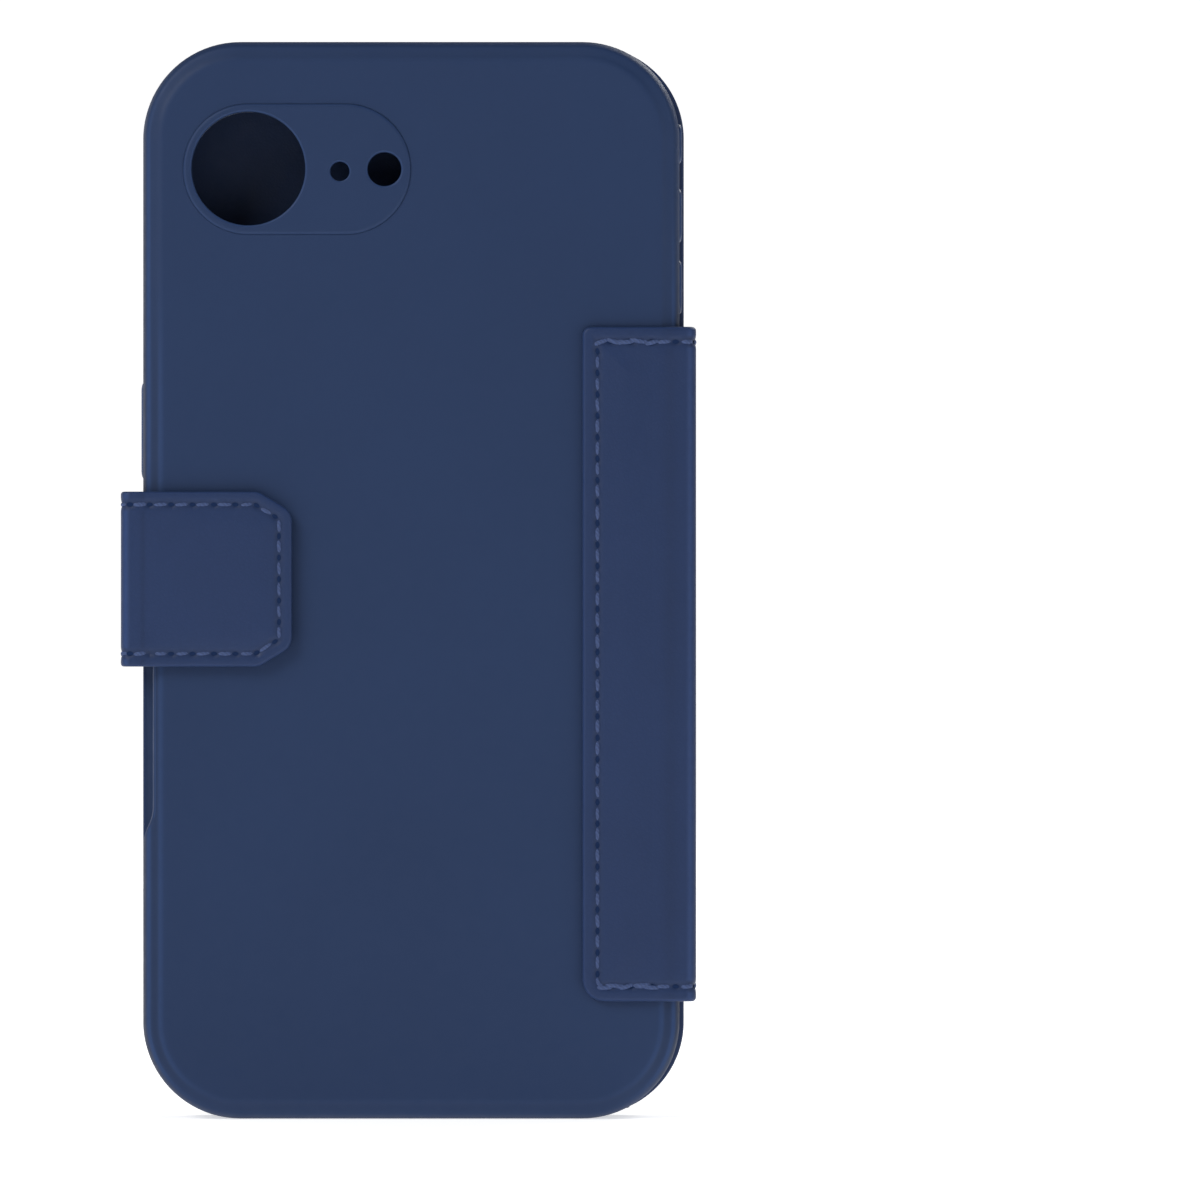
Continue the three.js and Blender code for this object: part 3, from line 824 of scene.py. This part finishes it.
def make_camera_plate():
    thick = PLATE.y1 - PLATE.y0
    # The third numbers paint the rounded rims of the holes and of the plate lighter, and the plate's
    # side in the groove round it darker, as painted shade.
    holes = []
    for aside, height, radius in (LENS_HOLE, MICROPHONE_HOLE, FLASH_HOLE):
        rim = min(0.3, radius * 0.16)
        holes.append((disc(SHELL.x + aside, height, radius), [
            (-rim - 0.1, 0.0, 0), (-rim, 0.0, 0), (-rim * 0.6, -rim * 0.1, 0.5),
            (-rim * 0.2, -rim * 0.4, 0.9), (0.0, -rim, 0.3), (0.0, -thick, 0),
        ]))
    rim = [(0.6, 0.0, 0), (0.48, 0.0, 0), (0.36, -0.02, 0.1), (0.22, -0.07, 0.3), (0.1, -0.15, 0.3),
           (0.03, -0.24, 0.0), (0.0, -0.34, -0.6), (0.0, -thick, -0.6)]
    solid = stacked(plate_outline, rim, facing(PLATE.y0, -1), 0.5, holes=holes)
    make_piece(solid, "camera_surround", "shell_body", "moulded_shell", "camera_plate")


def make_shell_lining():
    sheet = span["shell_lining"]
    foot = sheet.y0 - sheet.y1
    rings = [(1.0, 0.0, 0), (0.25, 0.0, 0), (0.07, -0.07, 0.5), (0.0, -0.2, 0), (0.0, foot, 0)]
    window = rounded(PLATE.x0 + LEDGE, PLATE.x1 - LEDGE, PLATE.z0 + LEDGE, PLATE.z1 - LEDGE,
                     plate_radius - LEDGE)
    around = [(-0.25, 0.0, 0), (-0.07, -0.07, 0), (0.0, -0.2, 0), (0.0, foot, 0)]
    outline = rounded(sheet.x0, sheet.x1, sheet.z0, sheet.z1, SHELL_CORNER - WALL - 0.3)
    solid = stacked(outline, rings, facing(sheet.y1, 1), 1.0, holes=[(window, around)])
    make_piece(solid, "shell_floor_lining", "shell_body", "microfibre", "shell_lining")


def make_button(name):
    """A crowned cap on its flange, as one moulding."""
    key = span[name + "_button"]
    way, _ = key_side(key)
    top = key.x1 if way > 0 else key.x0
    deep = key.x1 - key.x0
    rings = [(1.3, 0.0, 0), (1.0, -0.01, 0), (0.6, -0.06, 0.2), (0.3, -0.14, 0.6), (0.1, -0.26, 0.8),
             (0.0, -0.45, 0.3), (0.0, FLANGE - deep, 0), (-CAP_INSET, FLANGE - deep, 0),
             (-CAP_INSET, -deep, 0)]
    solid = stacked(key_outline(key, CAP_INSET, 1.2), rings, beside(top, way, key.y), 0.4)
    make_piece(solid, name + "_button_cap", name + "_key", "button_cap", name + "_button")


# ---- leather run: flap, spine and cover ----


def leather_edge(thick, rise=0.0, swell=0.0):
    """Rings of a stitched panel from the middle of its face to the middle of its foot."""
    field = crowned(SEAM_INSET + 0.95, rise, swell) if rise else [(SEAM_INSET + 2.0, 0.0, 0)]
    return field + seam_valley(SEAM_INSET) + turned_edge(thick)


def painted_fold_highlight(normal):
    """Painted highlight where a fold has turned by about a third of a right angle."""
    return math.exp(-(((abs(normal.x) - 0.5) / 0.25) ** 2))


def seam_on(path, z=0.0):
    """The route of a seam along a wrap, at the bottom of its valley."""
    points = [point - normal * SEAM_DEPTH + Vector((0, 0, z)) for point, normal in path]
    return Route(points, [normal for _, normal in path])


def wrap(path, rings, low, high, fade=0.0):
    """A strip with shaped edges that follows a path of (point, normal) over its outer face. Its
    seam valley fades out over the last stretch of the path."""
    solid = Solid()
    laid = []
    seam = seam_on(path)
    pitch = fitted_pitch(seam.length)
    for (point, normal), reach in zip(path, seam.reach):
        # Painted highlight on the fold and painted shade beside it, for the face rings that carry no
        # value of their own.
        painted_fold_light = painted_fold_highlight(normal) + painted_fold_shade(point)
        depth = min((seam.length - reach) / fade, 1.0) if fade else 1.0
        first = len(solid.points)
        for edge, way in ((low, 1), (high, -1)):
            for inset, height, ring_light_and_wear, dip in [(*ring, 0)[:4] for ring in rings[::way]]:
                if dip:
                    height = (height - dip * hole_dip(reach / pitch)) * depth
                at = point + normal * height
                solid.points.append(Vector((at.x, at.y, edge + way * inset)))
                solid.wear.append(painted_fold_light if abs(ring_light_and_wear) < 0.1 and height > -0.2 else ring_light_and_wear)
        laid.append(list(range(first, len(solid.points))))
    for a, b in zip(laid, laid[1:]):
        solid.bridge(a, b)
    solid.cap(laid[0])
    solid.cap(laid[-1])
    return solid


def painted_fold_shade(point):
    """Painted shade: the soft dark streaks beside the spine fold and over the edge that the strap bends
    round.
    """
    beside_spine = math.exp(-(((point.x - FOLD_X + 2.0) / 1.1) ** 2))
    over_edge = math.exp(-(((point.x - SHELL.x0 - 0.1) / 0.35) ** 2))
    return -0.3 * beside_spine - 0.45 * over_edge


def bend_path(centre, radius, from_angle, to_angle, lead_in, lead_out):
    """Points and normals: straight in, round an arc, straight out. Angles are in degrees."""
    steps = 20
    turn = 1 if to_angle > from_angle else -1

    def at(angle, off=0.0):
        a = math.radians(angle)
        normal = Vector((math.cos(a), math.sin(a), 0))
        onward = Vector((-math.sin(a), math.cos(a), 0)) * turn
        return Vector((*centre, 0)) + normal * radius + onward * off, normal

    before, after = (math.ceil(lead / WRAP_STEP) for lead in (lead_in, lead_out))
    path = [at(from_angle, -lead_in * (1 - k / before)) for k in range(before)]
    path += [at(from_angle + (to_angle - from_angle) * eased(k / steps)) for k in range(steps + 1)]
    path += [at(to_angle, lead_out * (k + 1) / after) for k in range(after)]
    return path


def eased(share):
    """Short steps at both ends and longer ones between, so that a bend runs into a flat unseen."""
    return share - 0.8 * math.sin(2 * math.pi * share) / (2 * math.pi)


def fold_blend(a, b, centre, way, radius):
    """The (a, b, start, end) of a blend from a to b across one corner, along its chord. Finish_piece
    takes it but makes no blend.
    """
    chord = Vector((*way, 0)).normalized() * radius * 0.72
    middle = Vector((*centre, 0))
    return a, b, (middle - chord)[:], (middle + chord)[:]


def make_flap():
    """The stitched flap on the back of the shell, up to where the fold starts."""
    end = FOLD_X - FLAP_LEAD
    outline = Outline([
        (end, FLAP.z1, 0), (FLAP.x0, FLAP.z1, 1.2), (FLAP.x0, FLAP.z0, 3.0), (end, FLAP.z0, 0),
    ], is_open=True)
    rings = leather_edge(FLAP_THICK, 0.28, 4.2)
    put = facing(FLAP.y0, -1)

    def swelled(u, v, h):
        return put(u, v, h * min((end - u) / FLAP_SWELL_RUN, 1.0) if h > 0 else h)

    solid = stacked(outline, rings, swelled, places=seam_places(outline, SEAM_INSET))
    make_piece(solid, "back_flap", "shell_body", "skin_leather", "back_flap_leather",
               "back_flap_backing")
    thread = Solid()
    stitch_row(thread, seam_route(outline, SEAM_INSET, put, -SEAM_DEPTH), thick=0.32)
    for corner in (FLAP.z1 - SEAM_INSET, FLAP.z0 + SEAM_INSET):
        backtack(thread, put, FLAP.x0 + SEAM_INSET, corner)
    make_piece(thread, "back_flap_stitches", "shell_body", "thread", "back_flap_thread")


def backtack(thread, put, u, v):
    """The knot of doubled stitches where a seam starts or ends at a corner."""
    normal = (put(0, 0, 1) - put(0, 0, 0)).normalized()
    for k in range(5):
        off = 0.24 if k % 2 else -0.24
        start = put(u - 0.5 + 1.75 * k + dice.uniform(-0.3, 0.3), v + off, -SEAM_DEPTH)
        end = start + Vector((dice.uniform(2.0, 2.5), 0, -off + dice.uniform(-0.25, 0.25)))
        add_stitch(thread, Route([start, end], [normal, normal]), 0.0, (end - start).length, THREAD,
                   dice.uniform(-0.3, 0.3), 0.08)


def make_spine():
    """The leather and its lining over the two folds, in halves that meet half way round."""
    reach = (COVER.y1 - FLAP.y0) / 2 - FOLD_RADIUS
    rear = (FOLD_X, FLAP.y0 + FOLD_RADIUS)
    front = (FOLD_X, COVER.y1 - FOLD_RADIUS)
    rear_blend = fold_blend("shell_body", "spine", rear, (1, 1), FOLD_RADIUS)
    front_blend = fold_blend("spine", "cover", front, (-1, 1), FOLD_RADIUS)
    rear_path = bend_path(rear, FOLD_RADIUS, -90, 0, FLAP_LEAD, reach)
    front_path = bend_path(front, FOLD_RADIUS, 0, 90, reach, 0.0)
    for name, path, fade, body, nodes in (
        ("spine_rear_skin", rear_path, 0.0, rear_blend, ("spine_leather",)),
        ("spine_front_skin", front_path, 1.5, front_blend, ()),
    ):
        solid = wrap(path, leather_edge(SKIN), FLAP.z0, FLAP.z1, fade)
        make_piece(solid, name, body, "skin_leather", *nodes)
    rings = [(1.5, 0.0, 0), (0.5, 0.0, 0), (0.35, -0.05, 0), (0.3, -0.2, 0), (0.3, -SHEET, 0)]
    radius = FOLD_RADIUS - SKIN - 0.02
    for name, path, body, nodes in (
        ("spine_rear_lining", bend_path(rear, radius, -90, 0, 1.0, reach), rear_blend,
         ("spine_lining",)),
        ("spine_front_lining", bend_path(front, radius, 0, 90, reach, 1.2), front_blend, ()),
    ):
        make_piece(wrap(path, rings, FLAP.z0, FLAP.z1), name, body, "microfibre", *nodes)
    heights = (FLAP.z0 + SEAM_INSET, FLAP.z1 - SEAM_INSET)
    run_stitches("spine_rear_stitches", rear_path, heights, rear_blend, (False, True))
    run_stitches("spine_front_stitches", front_path, heights, front_blend, (False, False))


def run_stitches(name, path, heights, body, ends):
    """The seams of a wrapped strip, one at each height."""
    thread = Solid()
    for z in heights:
        stitch_row(thread, seam_on(path, z), ends=ends)
    make_piece(thread, name, body, "thread")


# ---- cover ----


def cover_outline(right=FOLD_X):
    top, middle = COVER.z1, SHELL.x + NOTCH["middle"]
    return Outline([
        (COVER.x0, COVER.z0, COVER_CORNER),
        (right, COVER.z0, COVER_CORNER),
        (right, top, COVER_CORNER),
        (middle + NOTCH["mouth"] / 2, top, 2.6),
        (middle + NOTCH["floor"] / 2, top - NOTCH["depth"], 2.2),
        (middle - NOTCH["floor"] / 2, top - NOTCH["depth"], 2.2),
        (middle - NOTCH["mouth"] / 2, top, 2.6),
        (COVER.x0, top, COVER_CORNER),
    ])


def make_cover_skin():
    """The cover's leather, turned over its edge round the stiffener."""
    outline = cover_outline()
    rim_foot = COVER.y1 - LINING.y1 - 0.03
    rings = leather_edge(rim_foot) + [(3.3, -rim_foot, 0), (3.3, -SKIN, 0)]
    put = facing(COVER.y1, 1)
    solid = stacked(outline, rings, put, places=seam_places(outline, SEAM_INSET), kept=kept_off_fold)
    make_piece(solid, "cover_skin", "cover", "skin_leather", "cover_leather")
    thread = Solid()
    stitch_row(thread, seam_route(outline, SEAM_INSET, put, -SEAM_DEPTH), ends=(True, False))
    make_piece(thread, "cover_stitches", "cover", "thread", "cover_thread")


def kept_off_fold(point, inset, height):
    """The cover's edge stays rounded but for its right side, where it runs on into the spine."""
    is_edge = inset < 1.2 and height > -0.6
    if not is_edge or point.x < FOLD_X - 1.3:
        return 1.0
    past = min(point.y - FLAP.z0, FLAP.z1 - point.y)
    return 1 - min(max(past / 0.5, 0.0), 1.0)


def make_cover_lining():
    rings = [(1.6, 0.0, 0), (1.1, 0.0, 0.2), (0.95, -0.06, 0.5), (0.9, -0.18, 0),
             (0.9, LINING.y0 - LINING.y1, 0)]
    solid = stacked(cover_outline(LINING.x1 + 0.2), rings, facing(LINING.y0, -1), 0.8)
    make_piece(solid, "cover_inner_lining", "cover", "microfibre", "cover_lining")


def make_pockets():
    """The cash pocket, the two card pockets on it, and the seams of all three."""
    thread = Solid()
    make_cash_pocket(thread)
    for node in ("card_pocket_back", "card_pocket_front"):
        make_card_pocket(node)
    back, front = span["card_pocket_back"], span["card_pocket_front"]
    for card, start in ((back, front.x1 + 0.6), (front, front.x0 + 1.4)):
        for z in (card.z0 + 1.3, card.z1 - 1.3):
            pocket_row(thread, straight(card.y0, (start, z), (card.x1 - 0.4, z)))
    left = front.x0 + 1.4
    pocket_row(thread, straight(front.y0, (left, front.z0 + 1.3), (left, front.z1 - 1.3)))
    make_piece(thread, "pocket_stitches", "cover", "thread")


def make_cash_pocket(thread):
    cash = span["cash_pocket"]
    left, foot = cash.x0 + 0.5, cash.z0 + 0.5
    pocket_sheet("cash_pocket", Outline([
        (left, foot, 12.0), (cash.x1, foot, 0.5), (cash.x1, cash.z1, 0.5), (left, cash.z1, 12.0),
    ]))
    seam = Outline([
        (cash.x1 - 1.0, cash.z1 - 1.6, 0), (left, cash.z1, 12.0), (left, foot, 12.0),
        (cash.x1 - 1.0, foot, 0),
    ], is_open=True)
    pocket_row(thread, seam_route(seam, 1.6, facing(cash.y0, -1)))


def make_card_pocket(node):
    card = span[node]
    thumb, deep = 8.0, 4.95
    pocket_sheet(node, Outline([
        (card.x0, card.z0, 2.0), (card.x1, card.z0, 1.2), (card.x1, card.z - thumb - 3.0, 3.0),
        (card.x1 - deep, card.z - thumb * 0.35, 6.0), (card.x1 - deep, card.z + thumb * 0.35, 6.0),
        (card.x1, card.z + thumb + 3.0, 3.0), (card.x1, card.z1, 1.2), (card.x0, card.z1, 2.0),
    ]))


def pocket_sheet(node, outline):
    """A pocket's leather, with its edge softened."""
    sheet = span[node]
    rings = [(1.0, 0.0, 0), (0.16, 0.0, 0.3), (0.05, -0.05, 0.7), (0.0, -0.16, 0.3),
             (0.0, sheet.y0 - sheet.y1, 0)]
    solid = stacked(outline, rings, facing(sheet.y0, -1))
    make_piece(solid, node + "_sheet", "cover", "pocket_leather", node)


def straight(face, start, end):
    """A route on a plane that looks along -Y, between two places (x, z) on it."""
    return Route([Vector((x, face, z)) for x, z in (start, end)], [Vector((0, -1, 0))] * 2)


def pocket_row(thread, route):
    stitch_row(thread, route, thick=0.22, lift=0.1, sink=0.0)


# ---- strap ----


def make_strap():
    """The leather and its lining from inside the cover, round both folds, up to the tab."""
    radius, skin, gap = 1.45, 0.75, 0.02
    root = (TAB.x0 + radius, span["strap_tongue"].y1 + 0.1 - radius)
    foot = (TAB.x0 + radius, TAB.y0 + radius)
    middle = (root[1] + foot[1]) / 2
    root_blend = fold_blend("cover", "strap_side", root, (-1, -1), radius)
    foot_blend = fold_blend("strap_side", "strap_tab", foot, (1, -1), radius)
    skin_edge = [(3.6, 0.0, 0)] + seam_valley(TAB_SEAM_INSET) + turned_edge(skin, 0.42, 0.1)
    back_edge = [(1.5, 0.0, 0), (0.4, 0.0, 0), (0.24, -0.06, 0), (0.2, -0.2, 0), (0.2, -0.5, 0)]

    def halves(r, lead):
        return (bend_path(root, r, 90, 180, 2.6, root[1] - middle),
                bend_path(foot, r, 180, 270, middle - foot[1], lead))

    def lay(name, path, rings, body, slot, *nodes):
        make_piece(wrap(path, rings, TAB.z0, TAB.z1), name, body, slot, *nodes)

    into, out = halves(radius, TAB_LEAD)
    lay("strap_root_skin", into, skin_edge, root_blend, "skin_leather", "strap_tongue")
    lay("strap_fold_skin", out, skin_edge, foot_blend, "skin_leather", "strap_side_leather")
    heights = (TAB.z0 + TAB_SEAM_INSET, TAB.z1 - TAB_SEAM_INSET)
    run_stitches("strap_root_stitches", into, heights, root_blend, (True, True))
    run_stitches("strap_fold_stitches", out, heights, foot_blend, (False, False))
    into, out = halves(radius - skin - gap, TAB_LEAD + 0.6)
    lay("strap_root_lining", into, back_edge, root_blend, "microfibre")
    lay("strap_fold_lining", out, back_edge, foot_blend, "microfibre", "strap_side_lining")
    make_tab(foot[0] + TAB_LEAD)


def tab_outline(start):
    wide, tall = 4.6, 2.8
    return Outline([
        (start, TAB.z0, 0), (TAB.x1 - wide, TAB.z0, 2.4), (TAB.x1, TAB.z0 + tall, 2.4),
        (TAB.x1, TAB.z1 - tall, 2.4), (TAB.x1 - wide, TAB.z1, 2.4), (start, TAB.z1, 0),
    ], is_open=True)


def make_tab(start):
    """The strap's tab on the back, from where the fold ends."""
    outline = tab_outline(start)
    put = facing(TAB.y0, -1)
    lining = span["strap_tab_lining"]
    rings = [(5.2, 0.12, 0), (4.2, 0.1, 0), (3.3, 0.05, 0)] + seam_valley(TAB_SEAM_INSET)
    rings += turned_edge(0.95, 0.42, 0.12)

    def swelled(u, v, h):
        return put(u, v, h * min((u - start) / TAB_SWELL_RUN, 1.0) if h > 0 else h)

    solid = stacked(outline, rings, swelled, places=seam_places(outline, TAB_SEAM_INSET))
    make_piece(solid, "strap_tab_skin", "strap_tab", "skin_leather", "strap_tab_leather")
    under_rings = [(1.2, 0.0, 0), (0.5, 0.0, 0), (0.34, -0.07, 0), (0.3, -0.2, 0), (0.3, -0.63, 0)]
    solid = stacked(outline, under_rings, facing(lining.y1, 1), 0.6)
    make_piece(solid, "strap_tab_backing", "strap_tab", "microfibre", "strap_tab_lining")
    thread = Solid()
    stitch_row(thread, seam_route(outline, TAB_SEAM_INSET, put, -SEAM_DEPTH), thick=0.3)
    make_piece(thread, "strap_tab_stitches", "strap_tab", "thread", "strap_tab_thread")


# ---- stage ----


def pale_paint(name, glow):
    paint = Paint(name, 0.9, Specular_IOR_Level=0.1)
    paint.shader.inputs["Emission Color"].default_value = (1, 1, 1, 1)
    paint.shader.inputs["Emission Strength"].default_value = glow
    return paint.finish(paint.mix(paint.noise(3.0), (0.9, 0.9, 0.9, 1), (0.92, 0.92, 0.92, 1)))


def make_stage():
    """A pale floor, and a backdrop that goes on from it and stands up all round. The backdrop only
    fills the views: the camera sees it, and it gives the case no light and no shine."""
    level, near, far, high = -0.02, 1200.0, 6000.0, 1200.0
    ground, backdrop = Solid(), Solid()
    sides = [ground.ring([Vector((x, y, level)) for x in (-near, near)]) for y in (-near, near)]
    ground.bridge(*sides, closed=False)
    rings = [backdrop.ring([Vector((x, y, z)) for x, y in ((-r, -r), (r, -r), (r, r), (-r, r))])
             for r, z in ((near, level), (far, level), (far, high))]
    backdrop.bridge(rings[0], rings[1])
    backdrop.bridge(rings[1], rings[2])
    ground.build("floor", pale_paint("pale_floor", 0.6))
    surround = backdrop.build("backdrop", pale_paint("pale_backdrop", 0.9))
    surround.visible_diffuse = surround.visible_glossy = surround.visible_shadow = False


def lamp(name, place, target, size, watts):
    light = bpy.data.lights.new(name, "AREA")
    light.shape, light.size, light.energy = "SQUARE", size * MM, watts
    obj = bpy.data.objects.new(name, light)
    obj.location = Vector(place) * MM
    obj.rotation_mode = "QUATERNION"
    obj.rotation_quaternion = (Vector(target) - Vector(place)).to_track_quat("-Z", "Y")
    bpy.context.scene.collection.objects.link(obj)


def make_light():
    middle = (0.0, 0.0, SHELL.z)
    lamp("key", (-800.0, -800.0, 900.0), middle, 700.0, 10.5)
    lamp("fill", (1000.0, -900.0, 300.0), middle, 900.0, 3.0)
    lamp("rear_key", (700.0, 800.0, 900.0), middle, 700.0, 9.0)
    lamp("rear_fill", (-900.0, 900.0, 300.0), middle, 900.0, 3.0)
    world = bpy.data.worlds.new("soft_room")
    world.use_nodes = True
    world.node_tree.nodes["Background"].inputs["Color"].default_value = (1, 1, 1, 1)
    world.node_tree.nodes["Background"].inputs["Strength"].default_value = 0.15
    bpy.context.scene.world = world


def make_camera():
    """A long lens, level and square to the back, with the case left of the middle."""
    distance, sensor = 1500.0, 36.0
    frame_width = 166.7
    aside, below = 26.6, 2.75
    camera = bpy.data.cameras.new("camera")
    camera.sensor_width = sensor
    camera.lens = sensor * distance / frame_width
    camera.clip_start, camera.clip_end = 0.05, 50.0
    obj = bpy.data.objects.new("camera", camera)
    obj.location = Vector((aside, SHELL.y0 - distance, SHELL.z - below)) * MM
    obj.rotation_euler = (math.pi / 2, 0, 0)
    bpy.context.scene.collection.objects.link(obj)
    bpy.context.scene.camera = obj
    bpy.context.scene.view_settings.view_transform = "Standard"


# ---- everything ----


def paint_cad_node(node, slot):
    """A hidden part that keeps its CAD shape and gets a detailed material."""
    obj = frame["nodes"][node]
    obj.data.materials.clear()
    obj.data.materials.append(PAINTS[slot][0])


make_shell()
make_camera_plate()
make_shell_lining()
for name in KEYS:
    make_button(name)
make_flap()
make_spine()
make_cover_skin()
make_cover_lining()
make_pockets()
make_strap()
paint_cad_node("cover_board", "stiffener")
paint_cad_node("shell_magnet", "magnet_steel")
paint_cad_node("strap_keeper_plate", "magnet_steel")
make_stage()
make_light()
make_camera()
